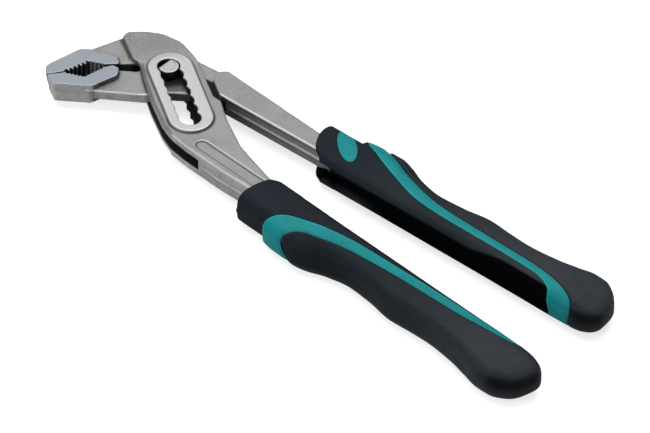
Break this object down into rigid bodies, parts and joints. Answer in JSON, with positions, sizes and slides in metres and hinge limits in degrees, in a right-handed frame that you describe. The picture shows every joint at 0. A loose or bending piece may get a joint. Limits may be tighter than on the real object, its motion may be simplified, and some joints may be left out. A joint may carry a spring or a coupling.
{
  "type": "tongue and groove pliers",
  "caption": "Slip-joint pliers: offset serrated jaws, a stepped groove through a two-plate box with a D-shaped pivot pin, and long moulded two-colour grips.",
  "frame": {"origin": "on the pivot pin's axis, at the pin's lower end face, which is flush with the lower boss; jaws closed in the first notch", "axes": "Z is the pivot axis and points up out of the upper side face; X runs from the jaws (negative) towards the handles (positive); Y points to the upper jaw's side"},
  "size_m": [0.2064, 0.1966, 0.0144],
  "materials": {
    "forged_steel": "sandblasted forging, satin, with ground jaw faces and boss",
    "ground_steel": "ground",
    "teal_core": "smooth hard plastic",
    "black_grip": "matt soft-touch"
  },
  "bodies": {
    "outer": {"outer_half": "forged_steel", "lower_grip_core": "teal_core", "lower_grip_cover": "black_grip", "lower_grip_pad": "black_grip"},
    "pin": {"pivot_pin": "ground_steel"},
    "inner": {"inner_half": "forged_steel", "upper_grip_core": "teal_core", "upper_grip_cover": "black_grip", "upper_grip_pad": "black_grip"}
  },
  "joints": [
    {"name": "groove_slide", "type": "slide", "parent": "outer", "child": "pin", "axis": [0.2571, -0.9664, 0], "range_m": [0, 0.03]},
    {"name": "jaw_hinge", "type": "hinge", "parent": "pin", "child": "inner", "pos_m": [0, 0, 0], "axis": [0, 0, 1], "range_deg": [0, 60]}
  ]
}
